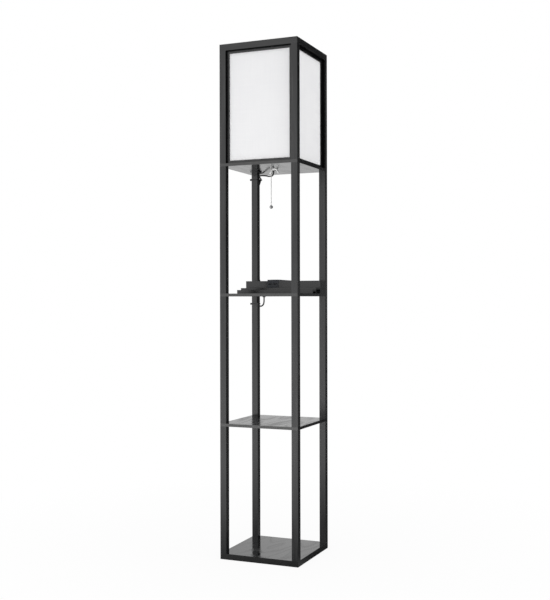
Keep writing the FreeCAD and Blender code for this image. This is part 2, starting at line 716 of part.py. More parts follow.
def build_module():
    """The moulded power module: a hollow block let into the console's front and top, with a low slope
    to its right, two sockets in its front and an outlet in its top."""
    left = "Dim.module_left"
    right = "(Dim.module_left + Dim.module_width)"
    front = "(" + BOX_FRONT + " - Dim.module_proud)"
    floor = level("display_posts")
    low = "(Dim.rear_step_height + Dim.module_play)"
    deck = "(Dim.box_height + Dim.module_rise)"
    wall = "Dim.module_wall"
    corners = [(left, low), (right, low), (right, "Dim.box_height"),
               (right + " + Dim.module_slope", "Dim.box_height"),
               (right + " + Dim.module_slope", "Dim.box_height + Dim.module_lip"),
               (right, deck), (left + " + Dim.module_corner", deck), (left, deck + " - Dim.module_corner")]
    case = extruded("module", "XZ_Plane", corners, MODULE_DEPTH, (ZERO, front + " + " + MODULE_DEPTH, floor))
    hollow = block((left + " + " + wall, front + " + " + wall, floor + " + " + low + " + " + wall),
                   ("Dim.module_width - 2 * " + wall, MODULE_DEPTH, deck + " - " + low + " - 2 * " + wall))
    middle_x = "(Dim.module_left + Dim.module_width / 2)"
    middle_y = "(" + front + " + " + MODULE_DEPTH + " / 2)"
    play = "Dim.module_play"
    well = block((middle_x + " - Dim.outlet_width / 2 - " + play, middle_y + " - Dim.outlet_length / 2 - " + play,
                  floor + " + " + deck + " - " + wall),
                 ("Dim.outlet_width + 2 * " + play, "Dim.outlet_length + 2 * " + play, wall))
    usb_height = floor + " + (" + low + " + " + deck + ") / 2"
    windows = []
    sockets = []
    for sign in (-1, 1):
        centre = "(" + middle_x + " + " + signed(sign, "Dim.usb_pitch / 2") + ")"
        windows.append(block((centre + " - Dim.usb_width / 2 - " + play, front,
                              usb_height + " - Dim.usb_height / 2 - " + play),
                             ("Dim.usb_width + 2 * " + play, wall, "Dim.usb_height + 2 * " + play)))
        sockets.append(usb_socket(centre, front, usb_height))
    node("module_housing", without(case, [hollow, well] + windows))
    node("usb_sockets", together(sockets))
    node("outlet_face", outlet(middle_x, middle_y, floor + " + " + deck + " + Dim.outlet_proud"))


def usb_socket(centre, front, height):
    """A metal socket shell with its tongue, flush with the module's front."""
    wall = "Dim.usb_wall"
    shell = block((centre + " - Dim.usb_width / 2", front, height + " - Dim.usb_height / 2"),
                  ("Dim.usb_width", "Dim.usb_depth", "Dim.usb_height"))
    mouth = block((centre + " - Dim.usb_width / 2 + " + wall, front, height + " - Dim.usb_height / 2 + " + wall),
                  ("Dim.usb_width - 2 * " + wall, "Dim.usb_depth - 1", "Dim.usb_height - 2 * " + wall))
    tongue = block((centre + " - Dim.tongue_width / 2", front + " + 1", height),
                   ("Dim.tongue_width", "Dim.usb_depth - 1", "Dim.tongue_thick"))
    return joined([without(shell, [mouth]), tongue])


def outlet(middle_x, middle_y, top):
    """The outlet's face: a raised pad with two blade slots and a ground hole."""
    pad = block((middle_x + " - Dim.outlet_width / 2", middle_y + " - Dim.outlet_length / 2",
                 top + " - Dim.outlet_thick"),
                ("Dim.outlet_width", "Dim.outlet_length", "Dim.outlet_thick"))
    depth = "Dim.outlet_thick / 2"
    slots = [block((middle_x + " - Dim.blade_width / 2 + " + signed(sign, "Dim.blade_gap / 2"),
                    middle_y + " - Dim.blade_length / 2 + Dim.ground_offset / 3", top + " - " + depth),
                   ("Dim.blade_width", "Dim.blade_length", depth)) for sign in (-1, 1)]
    ground = bar((middle_x, middle_y + " + Dim.ground_offset / 3 - Dim.ground_offset", top + " - " + depth),
                 "Dim.ground_radius", depth, "Z", 16)
    return without(pad, slots + [ground])


# ---------------------------------------------------------------- lead, bushings and ties

def bushing(foot, along):
    """A flanged bushing that a lead passes through."""
    x, y, z = foot
    flange = bar(foot, "Dim.gland_radius", "Dim.gland_flange", along, 16)
    reach = "Dim.gland_flange + Dim.sleeve_length"
    if along == "Z":
        start = foot
    else:
        start = (x, y + " - Dim.sleeve_length", z)
    sleeve = bar(start, "Dim.sleeve_radius", reach, along, 12)
    bore = bar(start, "Dim.lead_radius + Dim.lead_play", reach, along, 12)
    return without(joined([flange, sleeve]), [bore])


def build_bushings():
    """One bushing where the lead leaves the console, and one for the wall lead's inlet at the rear."""
    low = bushing((GLAND_X, GLAND_Y, level("middle_shelf") + " - Dim.gland_flange"), "Z")
    rear = bushing(("Dim.inlet_x", "Dim.width / 2 - Dim.rear_inset", level("display_posts") + " + Dim.box_height / 2"), "Y")
    node("cord_glands", together([low, rear]))


BEND_SHARE = 0.45
LEAD_SIDES = 8


def lead_path(points):
    """Straight runs joined by tangent arcs, each as large as its two runs allow."""
    edges = []
    radii = []
    start = points[0]
    for before, corner, after in zip(points, points[1:], points[2:]):
        back = (before - corner).normalize()
        onward = (after - corner).normalize()
        half_turn = (math.pi - back.getAngle(onward)) / 2
        setback = BEND_SHARE * min((before - corner).Length, (after - corner).Length)
        radius = setback / math.tan(half_turn)
        bisector = (back + onward).normalize()
        first = corner + back * setback
        middle = corner + bisector * (radius / math.cos(half_turn) - radius)
        last = corner + onward * setback
        edges.append(Part.LineSegment(start, first).toShape())
        edges.append(Part.Arc(first, middle, last).toShape())
        radii.append(radius)
        start = last
    edges.append(Part.LineSegment(start, points[-1]).toShape())
    return Part.Wire(edges), radii


def around(centre, direction, radius, sides):
    """A closed ring of points about a centre, square to a direction."""
    turn = FreeCAD.Rotation(FreeCAD.Vector(0, 0, 1), direction)
    ring = [centre + turn.multVec(FreeCAD.Vector(radius * math.cos(2 * math.pi * corner / sides),
                                                 radius * math.sin(2 * math.pi * corner / sides), 0))
            for corner in range(sides)]
    return ring + ring[:1]


def lead_tube(name, points):
    """A stretch of the lead: a round tube along its path, with its volume and its bends printed."""
    path, radii = lead_path(points)
    radius = size("lead_radius")
    ring = Part.makePolygon(around(points[0], points[1] - points[0], radius, LEAD_SIDES))
    tube = path.makePipeShell([ring], True, False)
    section = LEAD_SIDES / 2 * radius ** 2 * math.sin(2 * math.pi / LEAD_SIDES)
    drift = tube.Volume / (section * path.Length) - 1
    tightest = "%.1f" % min(radii) if radii else "none"
    print("%s: length %.1f, tightest bend %s, volume off by %.5f" % (name, path.Length, tightest, drift))
    shaped(name, tube)


def build_lead():
    """The lead from the console to the lamp holder: a loop that drops below the middle shelf, comes
    back up beside the post and leaves the console behind it, a straight stretch up the post's rear
    face, and a slack stretch under the shade shelf."""
    middle = level_mm("middle_shelf")
    shade = level_mm("shade_shelf")
    edge = size("width") / 2
    rear_x = -114.0
    rear_y = edge + size("lead_radius") + 0.35
    low_end = FreeCAD.Vector(rear_x, rear_y, middle + 70)
    high_end = FreeCAD.Vector(rear_x, rear_y, shade - 46)
    back = (size("post") + size("return_side") - edge, edge - size("post") - size("return_front"))
    gland = (size("gland_side") - edge, edge - size("gland_back"))
    loop = [gland + (4,), (-79.8, 96.9, -8), (-80.3, 97.1, -23), (-88.6, 99.9, -31.9),
            (-100.1, 103.8, -31.7), (-108.1, 106.5, -22.8), (-108.4, 106.6, -9), back + (5,), (-107.6, 105.8, 17),
            (-106.2, 113.0, 25), (-105.8, 124.0, 33), (-107.4, 133.4, 43), (rear_x, rear_y, 59)]
    lead_tube("lead_loop", [FreeCAD.Vector(x, y, middle + z) for x, y, z in loop] + [low_end])
    lead_tube("lead_riser", [low_end, high_end])
    entry = size("lead_entry")
    slack = [(rear_x, rear_y, -35), (-110.5, 135.4, -21), (-104.2, 130.0, -11), (-104.6, 117.0, -6.8),
             (-99.5, 106.0, -4.1), (-87.0, 99.0, -4.0), (-73.0, 87.0, -7), (-58.0, 69.0, -10),
             (-45.0, 56.0, -13.2), (-29.0, 42.0, -12), (-14.0, 22.0, -15.3), (-6.9, 9.2, -16.5),
             (entry, 0, -6.5), (entry, 0, 4)]
    lead_tube("lead_lamp", [high_end] + [FreeCAD.Vector(x, y, shade + z) for x, y, z in slack])


def hull(points):
    """The outline of the points' convex hull, anticlockwise."""
    ordered = sorted(points)

    def half(chain):
        """One side of the hull."""
        kept = []
        for point in chain:
            while len(kept) > 1:
                (ax, ay), (bx, by) = kept[-2], kept[-1]
                if (bx - ax) * (point[1] - ay) - (by - ay) * (point[0] - ax) > 0:
                    break
                kept.pop()
            kept.append(point)
        return kept[:-1]

    return half(ordered) + half(reversed(ordered))


def tie(leads, height):
    """A cable tie round the rear left post and the lead, which crosses it between two places. Its
    head is on the post's left face."""
    play = size("tie_play")
    low = -size("width") / 2 - play
    high = low + size("post") + 2 * play
    front = size("width") / 2 - size("post") - play
    rear = front + size("post") + 2 * play
    reach = size("lead_radius") + 3 * play
    corners = [(low, front), (high, front), (high, rear), (low, rear)]
    for x, y in leads:
        for turn in range(0, 360, 30):
            corners.append((x + reach * math.cos(math.radians(turn)), y + reach * math.sin(math.radians(turn))))
    loop = hull(corners)
    foot = height - size("tie_width") / 2
    inside = Part.Face(Part.makePolygon([FreeCAD.Vector(x, y, foot) for x, y in loop + loop[:1]]))
    strap = inside.makeOffset2D(size("tie_thick"), 2).cut(inside)
    band = strap.extrude(FreeCAD.Vector(0, 0, size("tie_width")))
    head_size = size("tie_head")
    head_front = front + play + 1
    head = Part.makeBox(head_size, head_size, head_size,
                        FreeCAD.Vector(low - head_size, head_front, height - head_size / 2))
    slot = Part.makeBox(head_size, 1.2, 2.5, FreeCAD.Vector(low - head_size, head_front + 1, height - 1.25))
    return band.fuse(head.cut(slot)).removeSplitter()


def build_ties():
    """Two cable ties: one under the middle shelf, one under the shade shelf."""
    low = tie([(-104.6, 105.4), (-107.8, 106.4)], level_mm("middle_shelf") - size("tie_low_drop"))
    high = tie([(-107.9, 133.1), (-105.9, 131.0)], level_mm("shade_shelf") - size("tie_high_drop"))
    shaped("cable_ties", Part.makeCompound([low, high]))


# ---------------------------------------------------------------- build, check and write

def build():
    """Builds every sub-part."""
    build_boards()
    build_posts()
    build_top_rails()
    build_fasteners()
    build_panels()
    build_lamp_holder()
    build_pull()
    build_console()
    build_module()
    build_bushings()
    build_lead()
    build_ties()
    doc.recompute()


def check():
    """Stops if an object failed or a sub-part's shape is unsound."""
    for thing in doc.Objects:
        if "Invalid" in thing.State or "Error" in thing.State:
            raise RuntimeError("failed: %s in %s" % (thing.Name, thing.State))
    for name, thing in nodes.items():
        shape = thing.Shape
        if shape.isNull() or not shape.isValid() or not shape.Solids:
            raise RuntimeError("unsound shape: " + name)


build()
check()
os.makedirs("parts", exist_ok=True)
for name, thing in nodes.items():
    thing.Shape.exportStep("parts/%s.step" % name)
print("%d sub-parts" % len(nodes))
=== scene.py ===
import math

import bmesh
import bpy
from mathutils import Matrix, Vector


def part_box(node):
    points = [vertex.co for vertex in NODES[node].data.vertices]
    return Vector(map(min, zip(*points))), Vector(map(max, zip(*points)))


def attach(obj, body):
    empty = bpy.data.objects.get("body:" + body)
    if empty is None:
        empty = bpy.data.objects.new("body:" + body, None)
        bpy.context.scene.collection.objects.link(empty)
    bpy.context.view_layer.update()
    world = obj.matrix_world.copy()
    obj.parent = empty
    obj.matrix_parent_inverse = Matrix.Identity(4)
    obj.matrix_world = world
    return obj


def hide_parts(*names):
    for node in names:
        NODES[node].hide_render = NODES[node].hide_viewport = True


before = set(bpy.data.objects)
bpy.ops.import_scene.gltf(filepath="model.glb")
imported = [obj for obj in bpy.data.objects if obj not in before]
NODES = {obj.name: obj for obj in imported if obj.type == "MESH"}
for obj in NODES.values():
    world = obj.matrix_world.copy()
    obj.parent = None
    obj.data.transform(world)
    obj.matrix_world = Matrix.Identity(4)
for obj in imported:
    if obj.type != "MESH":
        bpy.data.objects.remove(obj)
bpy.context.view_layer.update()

scene = bpy.context.scene
scene.view_settings.view_transform = "Standard"


# ---------------------------------------------------------------- camera

# Where the photograph was taken from, fitted to its edges: a level camera at half the lamp's height.
CAMERA_PLACE = (1.246104, -2.918032, 0.808547)
CAMERA_RIGHT = Vector((0.91972822, 0.3925509, -0.00194987))
CAMERA_FORWARD = Vector((-0.392553125, 0.919728875, -0.000916832))
FOCAL_LENGTH = 59.862
SENSOR_WIDTH = 36.0
SIGHT = 60.0

camera_data = bpy.data.cameras.new("camera")
camera_data.lens = FOCAL_LENGTH
camera_data.sensor_width = SENSOR_WIDTH
camera_data.clip_end = SIGHT
camera = bpy.data.objects.new("camera", camera_data)
right = CAMERA_RIGHT.normalized()
forward = CAMERA_FORWARD.normalized()
up = right.cross(forward).normalized()
turned = Matrix((right, up, -forward)).transposed().to_4x4()
camera.matrix_world = Matrix.Translation(CAMERA_PLACE) @ turned
scene.collection.objects.link(camera)
scene.camera = camera


# ---------------------------------------------------------------- the lead

def mm(x, y, z):
    """A place given in millimetres."""
    return Vector((x, y, z)) / 1000


# The route's heights start from the undersides of the middle shelf and the shade shelf, in millimetres.
MIDDLE = 817.0
SHADE = 1221.0
# Out of the console's bushing, in a short loop below the middle shelf, and up behind the rear left post.
LOOP = [(-80.0, 97.0, 4), (-79.8, 96.9, -8), (-80.3, 97.1, -23), (-88.6, 99.9, -31.9),
        (-100.1, 103.8, -31.7), (-108.1, 106.5, -22.8), (-108.4, 106.6, -9), (-108.2, 106.5, 5),
        (-107.6, 105.8, 17), (-106.2, 113.0, 25), (-105.8, 124.0, 33), (-107.4, 133.4, 43),
        (-114.0, 132.6, 59), (-114.0, 132.6, 70)]
# From behind the post, slack along the shade shelf's underside, to the lamp holder.
SLACK = [(-114.0, 132.6, -46), (-114.0, 132.6, -35), (-110.5, 135.4, -21), (-104.2, 130.0, -11),
         (-104.6, 117.0, -6.8), (-99.5, 106.0, -4.1), (-87.0, 99.0, -4.0), (-73.0, 87.0, -7),
         (-58.0, 69.0, -10), (-45.0, 56.0, -14.0), (-30.0, 44.0, -15.0), (-17.0, 26.0, -16.0),
         (-8.5, 11.0, -11.5), (-3.0, 0.5, -5.0), (-3.0, 0.0, 4)]
LEAD_RADIUS = 0.00225
lead_points = [mm(x, y, MIDDLE + z) for x, y, z in LOOP] + [mm(x, y, SHADE + z) for x, y, z in SLACK]


def cable(name, points, radius):
    """A smooth round cable whose control points are those of its route. The points carry its radius, so that
    the curve's own box is no wider than the cable."""
    curve = bpy.data.curves.new(name, "CURVE")
    curve.dimensions = "3D"
    spline = curve.splines.new("NURBS")
    spline.points.add(len(points) - 1)
    for place, point in zip(spline.points, points):
        place.co = (point.x, point.y, point.z, 1.0)
        place.radius = radius
    spline.order_u = 3
    spline.use_endpoint_u = True
    curve.resolution_u = 10
    curve.bevel_depth = 1.0
    curve.bevel_resolution = 5
    curve.use_fill_caps = True
    piece = bpy.data.objects.new(name, curve)
    scene.collection.objects.link(piece)
    return piece


lead = cable("lead", lead_points, LEAD_RADIUS)
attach(lead, "stand")
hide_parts("lead_loop", "lead_riser", "lead_lamp")


# ---------------------------------------------------------------- materials

class Nodes:
    """A node tree that is put together in a few calls."""

    def __init__(self, tree):
        self.tree = tree

    def add(self, kind, **settings):
        made = self.tree.nodes.new(kind)
        for name, value in settings.items():
            setattr(made, name, value)
        return made

    def join(self, source, target):
        self.tree.links.new(source, target)

    def feed(self, value, socket):
        """Gives a socket a plain value or another node's output."""
        if isinstance(value, bpy.types.NodeSocket):
            self.join(value, socket)
        else:
            socket.default_value = value

    def ramp(self, source, stops):
        """A colour ramp through (place, colour or grey)."""
        ramp = self.add("ShaderNodeValToRGB")
        while len(ramp.color_ramp.elements) < len(stops):
            ramp.color_ramp.elements.new(0.5)
        for element, (place, colour) in zip(ramp.color_ramp.elements, stops):
            element.position = place
            element.color = (colour, colour, colour, 1.0) if isinstance(colour, float) else (*colour, 1.0)
        self.join(source, ramp.inputs["Fac"])
        return ramp.outputs["Color"]

    def span(self, source, low, high, start=0.0, end=1.0):
        """A value carried from the range start to end, and held there, to the range low to high."""
        carry = self.add("ShaderNodeMapRange")
        carry.inputs["From Min"].default_value = start
        carry.inputs["From Max"].default_value = end
        carry.inputs["To Min"].default_value = low
        carry.inputs["To Max"].default_value = high
        self.join(source, carry.inputs["Value"])
        return carry.outputs["Result"]

    def math(self, operation, one, other=0.0):
        node = self.add("ShaderNodeMath", operation=operation)
        self.feed(one, node.inputs[0])
        self.feed(other, node.inputs[1])
        return node.outputs["Value"]

    def dot(self, direction, other):
        """How far a direction points along another."""
        product = self.add("ShaderNodeVectorMath", operation="DOT_PRODUCT")
        self.join(direction, product.inputs[0])
        self.feed(other, product.inputs[1])
        return product.outputs["Value"]

    def mix(self, kind, share, one, other):
        """One value or colour at share 0 and another at share 1."""
        mixed = self.add("ShaderNodeMix", data_type=kind)
        self.join(share, mixed.inputs["Factor"])
        self.feed(one, mixed.inputs["A"])
        self.feed(other, mixed.inputs["B"])
        return mixed.outputs["Result"]


class Surface(Nodes):
    """A material of one main shader, whose textures lie in the object's own coordinates."""

    def __init__(self, name, roughness=0.4, metallic=0.0, ior=1.5):
        self.material = bpy.data.materials.new(name)
        self.material.use_nodes = True
        super().__init__(self.material.node_tree)
        self.shader = self.tree.nodes["Principled BSDF"]
        self.shader.inputs["Roughness"].default_value = roughness
        self.shader.inputs["Metallic"].default_value = metallic
        self.shader.inputs["IOR"].default_value = ior
        self.place = self.add("ShaderNodeTexCoord").outputs["Object"]

    def scaled(self, scale, offset=(0.0, 0.0, 0.0)):
        """The surface's own coordinates, scaled on each axis."""
        mapping = self.add("ShaderNodeMapping")
        mapping.inputs["Scale"].default_value = scale
        mapping.inputs["Location"].default_value = offset
        self.join(self.place, mapping.inputs["Vector"])
        return mapping.outputs["Vector"]

    def noise(self, scale, detail=3.0, roughness=0.55, offset=(0.0, 0.0, 0.0), distortion=0.0):
        texture = self.add("ShaderNodeTexNoise")
        texture.inputs["Scale"].default_value = 1.0
        texture.inputs["Detail"].default_value = detail
        texture.inputs["Roughness"].default_value = roughness
        texture.inputs["Distortion"].default_value = distortion
        self.join(self.scaled(scale, offset), texture.inputs["Vector"])
        return texture.outputs["Fac"]

    def colour(self, source):
        self.join(source, self.shader.inputs["Base Color"])

    def gloss(self, source):
        self.join(source, self.shader.inputs["Roughness"])

    def bump(self, source, distance, strength=1.0, edge=0.0):
        """Relief, over edges that are eased by a small radius."""
        relief = self.add("ShaderNodeBump")
        relief.inputs["Distance"].default_value = distance
        relief.inputs["Strength"].default_value = strength
        self.join(source, relief.inputs["Height"])
        if edge:
            self.join(self.eased(edge), relief.inputs["Normal"])
        self.join(relief.outputs["Normal"], self.shader.inputs["Normal"])

    def eased(self, radius):
        """Normals that round the sharp edges off."""
        bevel = self.add("ShaderNodeBevel", samples=4)
        bevel.inputs["Radius"].default_value = radius
        return bevel.outputs["Normal"]

    def blend(self, share, shader):
        """Mixes a second shader into the main one."""
        mix = self.add("ShaderNodeMixShader")
        self.feed(share, mix.inputs["Fac"])
        self.join(self.shader.outputs["BSDF"], mix.inputs[1])
        self.join(shader, mix.inputs[2])
        self.join(mix.outputs["Shader"], self.tree.nodes["Material Output"].inputs["Surface"])


def along(axis, stretched, across):
    """A scale that runs along one axis."""
    return tuple(stretched if name == axis else across for name in "XYZ")


def grain(surface, axis):
    """Wood figure with fine fibres and short pores, all drawn out along one axis."""
    figure = surface.noise(along(axis, 3.5, 38.0), detail=4.0, distortion=0.6)
    fine = surface.noise(along(axis, 9.0, 420.0), detail=2.0, offset=(3.1, 1.7, 0.4))
    pores = surface.noise(along(axis, 30.0, 900.0), detail=1.0, offset=(7.7, 2.9, 5.3))
    mixed = surface.math("ADD", surface.math("MULTIPLY", figure, 0.6), surface.math("MULTIPLY", fine, 0.4))
    relief = surface.math("ADD", surface.math("MULTIPLY", fine, 0.6), surface.math("MULTIPLY", pores, 0.4))
    return mixed, relief


LAMINATE_IOR = 1.6
LAMINATE_SHINE = 0.20
GRAIN_RELIEF = 0.00006
GRAIN_RANGE = (0.3, 0.7)


def laminate(name, axis):
    """Black paper laminate with a printed and pressed wood grain that runs along one axis."""
    surface = Surface(name, roughness=LAMINATE_SHINE, ior=LAMINATE_IOR)
    mixed, relief = grain(surface, axis)
    surface.colour(surface.ramp(mixed, [(0.30, (0.0032, 0.0034, 0.0038)), (0.52, (0.0100, 0.0103, 0.0108)),
                                        (0.70, (0.0250, 0.0250, 0.0252))]))
    surface.gloss(surface.span(mixed, LAMINATE_SHINE - 0.07, LAMINATE_SHINE + 0.10, *GRAIN_RANGE))
    surface.bump(relief, GRAIN_RELIEF, 0.5)
    return surface.material


def painted_shade_black(name):
    """Painted shade: a dull black, darker than the laminate, that darkens the faces in the shade tier which
    look down or inwards, with only the relief of the grain.
    """
    surface = Surface(name, roughness=0.9, ior=1.15)
    mixed, relief = grain(surface, "Z")
    surface.colour(surface.ramp(mixed, [(0.30, (0.0014, 0.0014, 0.0015)), (0.72, (0.0026, 0.0026, 0.0027))]))
    surface.bump(relief, GRAIN_RELIEF, 0.5)
    return surface.material


# The veins of a shelf's print follow the contours of a slow noise.
VEIN_CONTOURS = 11.0
VEIN_WIDTH = 0.42
VEIN_DULLNESS = 0.17
VEIN_DEPTH = 0.4
SHELF_RELIEF = 0.00002


def shelf_laminate(name, shine, veins, edge_grey):
    """The same laminate on a shelf: flatter and glossier, with veins, and a grey of its own on the faces
    that look forward and back."""
    surface = Surface(name, roughness=shine, ior=LAMINATE_IOR)
    mixed, relief = grain(surface, "Y")
    slow = surface.noise((8.0, 2.2, 8.0), detail=2.0, offset=(0.4, 0.1, 0.0))
    line = surface.math("PINGPONG", surface.math("MULTIPLY", slow, VEIN_CONTOURS), 0.5)
    vein = surface.math("MULTIPLY", surface.span(line, 1.0, 0.0, 0.0, VEIN_WIDTH), veins)
    face = surface.ramp(mixed, [(0.30, (0.0052, 0.0055, 0.0060)), (0.52, (0.0100, 0.0103, 0.0108)),
                                (0.72, (0.0170, 0.0170, 0.0172))])
    # The faces that look forward and back get a grey of their own.
    edge_tone = surface.ramp(mixed, [(0.30, (0.8 * edge_grey,) * 3), (0.72, (1.2 * edge_grey,) * 3)])
    parts = surface.add("ShaderNodeSeparateXYZ")
    surface.join(surface.add("ShaderNodeNewGeometry").outputs["True Normal"], parts.inputs["Vector"])
    plain = surface.math("LESS_THAN", surface.math("ABSOLUTE", parts.outputs["Y"]), 0.5)
    surface.colour(surface.mix("RGBA", plain, edge_tone, face))
    lustre = surface.span(mixed, shine - 0.03, shine + 0.07, *GRAIN_RANGE)
    surface.gloss(surface.math("ADD", lustre, surface.math("MULTIPLY", vein, VEIN_DULLNESS)))
    height = surface.math("SUBTRACT", relief, surface.math("MULTIPLY", vein, VEIN_DEPTH))
    surface.bump(height, SHELF_RELIEF, 0.5)
    return surface.material


LAMINATE = {axis: laminate("laminate_" + axis.lower(), axis) for axis in "XYZ"}
# Painted shade, which darkens the undersides and inner faces of the shade posts and top rails.
PAINTED_SHADE = painted_shade_black("painted_shade_black")
SHELF = shelf_laminate("laminate_shelf", 0.08, 0.5, 0.038)
LOWER = shelf_laminate("laminate_lower_shelf", 0.08, 1.0, 0.038)
BASE = shelf_laminate("laminate_base", 0.055, 1.0, 0.007)


def plastic(name, colour, roughness, skin=0.00005, edge=0.0004, ior=1.5):
    """Moulded plastic with a fine spark-eroded skin and a little unevenness in its colour."""
    surface = Surface(name, roughness=roughness, ior=ior)
    cloud = surface.noise((60.0,) * 3, detail=3.0)
    low = tuple(c * 0.94 for c in colour)
    high = tuple(min(0.95, c * 1.06) for c in colour)
    surface.colour(surface.ramp(cloud, [(0.3, low), (0.7, high)]))
    surface.gloss(surface.span(cloud, roughness - 0.06, roughness + 0.06, 0.3, 0.7))
    surface.bump(surface.noise((1500.0,) * 3, detail=1.0), skin, 0.6, edge=edge)
    return surface.material


def metal(name, colour, roughness, turned=False):
    """Plated metal, with faint marks from the barrel, or turned metal, with rings from the tool."""
    surface = Surface(name, roughness=roughness, metallic=1.0)
    marks = surface.noise((180.0, 180.0, 2200.0 if turned else 180.0), detail=3.0)
    surface.colour(surface.ramp(marks, [(0.3, tuple(c * 0.86 for c in colour)), (0.7, colour)]))
    surface.gloss(surface.span(marks, roughness * 0.8, roughness * 1.3, 0.3, 0.7))
    surface.bump(marks, 0.00002, 0.4)
    return surface.material


BLACK_NYLON = plastic("black_nylon", (0.011, 0.011, 0.012), 0.42)
MODULE_PLASTIC = plastic("module_plastic", (0.012, 0.015, 0.020), 0.40, skin=0.00001)
OUTLET_PLASTIC = plastic("outlet_plastic", (0.013, 0.016, 0.021), 0.38, skin=0.00001)
HOLDER_PLASTIC = plastic("holder_plastic", (0.011, 0.011, 0.011), 0.33)
WHITE_PLASTIC = plastic("white_plastic", (0.93, 0.93, 0.92), 0.25, skin=0.00001)
JACKET = plastic("lead_jacket", (0.005, 0.005, 0.005), 0.55, skin=0.00003, edge=0.0, ior=1.35)
ZINC = metal("zinc", (0.70, 0.71, 0.73), 0.30)
NICKEL = metal("nickel", (0.95, 0.94, 0.93), 0.16)
BALL_METAL = metal("ball_metal", (0.42, 0.42, 0.43), 0.26)
BRASS = metal("brass", (0.80, 0.62, 0.30), 0.28, turned=True)
SOCKET_STEEL = metal("socket_steel", (0.07, 0.07, 0.075), 0.42)


THREAD_PITCH = 0.0011


def woven(name):
    """Plain-woven off-white shade fabric: threads over and under, with slubs, and light through it."""
    surface = Surface(name, roughness=0.88)
    turns = 2 * math.pi / THREAD_PITCH
    parts = surface.add("ShaderNodeSeparateXYZ")
    surface.join(surface.place, parts.inputs["Vector"])
    level = surface.math("ADD", parts.outputs["X"], parts.outputs["Y"])
    warp = surface.math("SINE", surface.math("MULTIPLY", level, turns))
    weft = surface.math("SINE", surface.math("MULTIPLY", parts.outputs["Z"], turns))
    weave = surface.math("MULTIPLY", warp, weft)
    slub_up = surface.noise((900.0, 900.0, 9.0), detail=2.0)
    slub_across = surface.noise((9.0, 9.0, 900.0), detail=2.0, offset=(4.0, 1.0, 2.0))
    slubs = surface.math("ADD", slub_up, slub_across)
    height = surface.math("ADD", surface.math("MULTIPLY", weave, 0.35), slubs)
    cloud = surface.noise((14.0,) * 3, detail=2.0, offset=(0.0, 5.0, 0.0))
    tone = surface.math("ADD", surface.math("MULTIPLY", slubs, 0.5), surface.math("MULTIPLY", cloud, 0.25))
    surface.colour(surface.ramp(tone, [(0.42, (0.85, 0.85, 0.865)), (0.62, (0.88, 0.88, 0.89)),
                                       (0.80, (0.91, 0.91, 0.915))]))
    surface.bump(height, 0.00010, 0.5)
    glow = surface.add("ShaderNodeBsdfTranslucent")
    glow.inputs["Color"].default_value = (0.90, 0.90, 0.90, 1.0)
    surface.blend(0.18, glow.outputs["BSDF"])
    return surface.material


FABRIC = woven("shade_fabric")


def opal(name):
    """Opal glass."""
    surface = Surface(name, roughness=0.22)
    cloud = surface.noise((30.0,) * 3)
    surface.colour(surface.ramp(cloud, [(0.3, (0.86, 0.86, 0.84)), (0.7, (0.90, 0.90, 0.88))]))
    surface.shader.inputs["Subsurface Weight"].default_value = 0.3
    surface.shader.inputs["Subsurface Radius"].default_value = (0.004, 0.004, 0.004)
    return surface.material


OPAL = opal("bulb_glass")


def finish_with(node, material):
    """Gives a CAD node its material."""
    node.data.materials.clear()
    node.data.materials.append(material)


# A face looks down where its normal's height is under the first value, and in towards the part's middle
# where its normal, times its place in plan, is under the second. Such faces are darkened with painted shade.
DOWN = -0.5
INWARD = -0.01


def paint_shade_inside(node, material):
    """Gives the faces that look down, or in towards the part's middle, a second material: painted shade."""
    node.data.materials.append(material)
    for face in node.data.polygons:
        middle = node.matrix_world @ face.center
        if face.normal.z < DOWN or face.normal.x * middle.x + face.normal.y * middle.y < INWARD:
            face.material_index = 1


# The axis that the grain of each laminated node runs along. That of the posts and panel bars runs upwards.
GRAIN = {"top_rail_front": "X", "top_rail_rear": "X", "top_rail_left": "Y", "top_rail_right": "Y",
         "console_front": "X", "console_top": "X", "console_rear": "X", "console_ends": "Y",
         "console_blocks": "Z", "tread_front": "X", "tread_rear": "X"}
for name, node in NODES.items():
    if name in GRAIN:
        finish_with(node, LAMINATE[GRAIN[name]])
    elif "_post_" in name or name.startswith("panel_frame"):
        finish_with(node, LAMINATE["Z"])
    # The undersides and inner faces of the shade posts and top rails get painted shade, for the dark gaps
    # around the fabric.
    if name.startswith(("shade_post", "top_rail")):
        paint_shade_inside(node, PAINTED_SHADE)
FINISHES = {"base_board": BASE, "lower_shelf": LOWER, "middle_shelf": SHELF, "shade_shelf": SHELF,
            "base_bolts": ZINC, "shelf_studs": ZINC, "post_inserts": ZINC, "frame_pins": ZINC,
            "holder_body": HOLDER_PLASTIC, "screw_shell": BRASS, "wing_nut": WHITE_PLASTIC, "bulb_cap": ZINC,
            "pull_rod": NICKEL, "module_housing": MODULE_PLASTIC, "outlet_face": OUTLET_PLASTIC,
            "usb_sockets": SOCKET_STEEL, "cord_glands": BLACK_NYLON, "cable_ties": BLACK_NYLON}
for name, material in FINISHES.items():
    finish_with(NODES[name], material)
lead.data.materials.append(JACKET)


# ---------------------------------------------------------------- pieces

def mesh_piece(name, mesh_data, body, material, slot, *replaced):
    """A finished mesh that rides on a body and stands for CAD nodes."""
    mesh = bpy.data.meshes.new(name)
    mesh_data.normal_update()
    mesh_data.to_mesh(mesh)
    mesh_data.free()
    mesh.materials.append(material)
    for face in mesh.polygons:
        face.use_smooth = True
    piece = bpy.data.objects.new(name, mesh)
    scene.collection.objects.link(piece)
    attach(piece, body)
    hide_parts(*replaced)
    return piece


